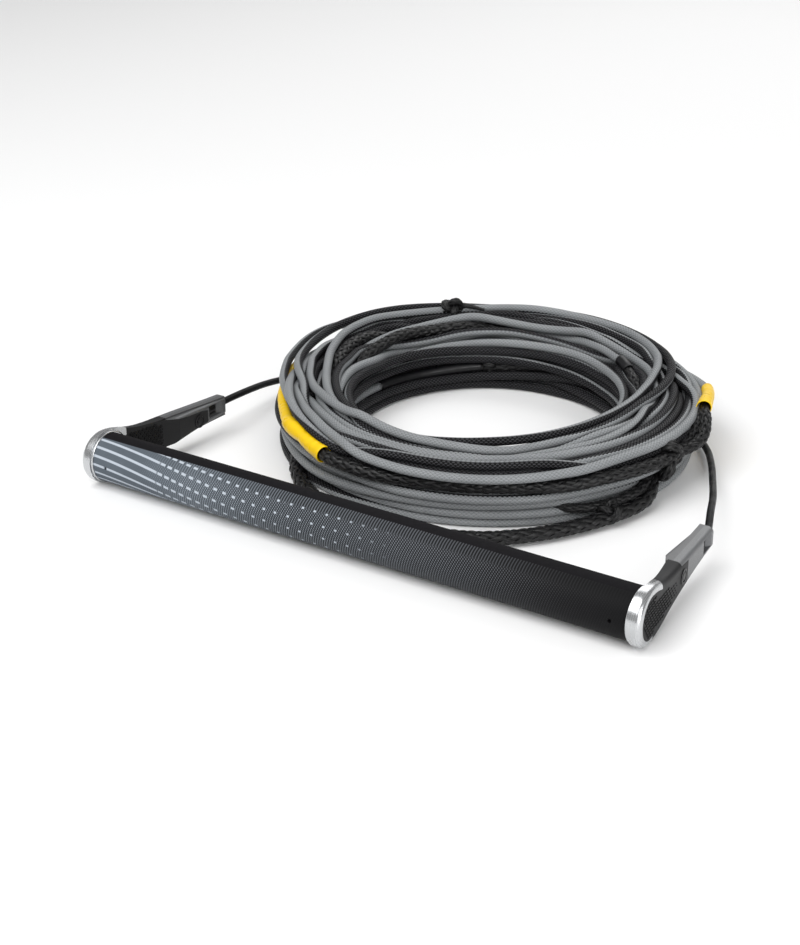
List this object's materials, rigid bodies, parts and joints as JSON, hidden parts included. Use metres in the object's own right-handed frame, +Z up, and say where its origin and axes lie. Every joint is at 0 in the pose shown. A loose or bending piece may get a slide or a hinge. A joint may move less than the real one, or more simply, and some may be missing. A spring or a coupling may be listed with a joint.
{
  "type": "tow rope handle",
  "caption": "Padded tow bar with two rigid arms on a pair of bridle lines, with its two-tone tow rope wound in a loose coil.",
  "frame": {"origin": "under the middle of the handle, on the surface that the handle and the coil lie on", "axes": "+X along the grip, +Y from the grip towards the coil, +Z up"},
  "size_m": [0.3672, 0.3231, 0.048],
  "materials": {
    "tube_alloy": "extruded, anodised",
    "grip_foam": "knurled foam cover with a printed field",
    "float_foam": "closed-cell foam",
    "cap_bright": "polished, clear coated",
    "core_nylon": "glass-filled nylon",
    "arm_rubber": "moulded rubber with raised texture",
    "shell_grey": "satin metallic grey moulding",
    "badge_black": "gloss inlay",
    "stopper_black": "crimped stopper",
    "line_black": "coated line",
    "rope_two_tone": "two-tone braided cover, grey and black",
    "braid_black": "bare hollow braid",
    "sleeve_yellow": "shrink sleeve",
    "label_black": "shrink sleeve"
  },
  "bodies": {
    "rope": {"coil": "rope_two_tone", "bridle_left": "line_black", "bridle_right": "line_black", "tow_line": "braid_black", "loop_right": "braid_black", "sleeve_left": "sleeve_yellow", "sleeve_right": "sleeve_yellow", "knot_right": "braid_black", "knot_top": "braid_black", "label_sleeve_1": "label_black", "label_sleeve_2": "label_black", "label_sleeve_3": "label_black"},
    "handle": {"core_tube": "tube_alloy", "grip_cover": "grip_foam", "foam_float": "float_foam", "collar_left": "cap_bright", "collar_right": "cap_bright", "end_cap_left": "cap_bright", "end_cap_right": "cap_bright", "arm_core_left": "core_nylon", "arm_core_right": "core_nylon", "arm_rubber_left": "arm_rubber", "arm_rubber_right": "arm_rubber", "shell_outer_left": "shell_grey", "shell_outer_right": "shell_grey", "shell_inner_left": "shell_grey", "shell_inner_right": "shell_grey", "badge_outer_left": "badge_black", "badge_outer_right": "badge_black", "badge_inner_left": "badge_black", "badge_inner_right": "badge_black", "line_stopper_left": "stopper_black", "line_stopper_right": "stopper_black", "line_stub_left": "line_black", "line_stub_right": "line_black"}
  },
  "joints": [
    {"name": "handle_swing", "type": "hinge", "parent": "rope", "child": "handle", "pos_m": [0, 0.0671, 0.0195], "axis": [-1, 0, 0], "range_deg": [0, 100]}
  ]
}
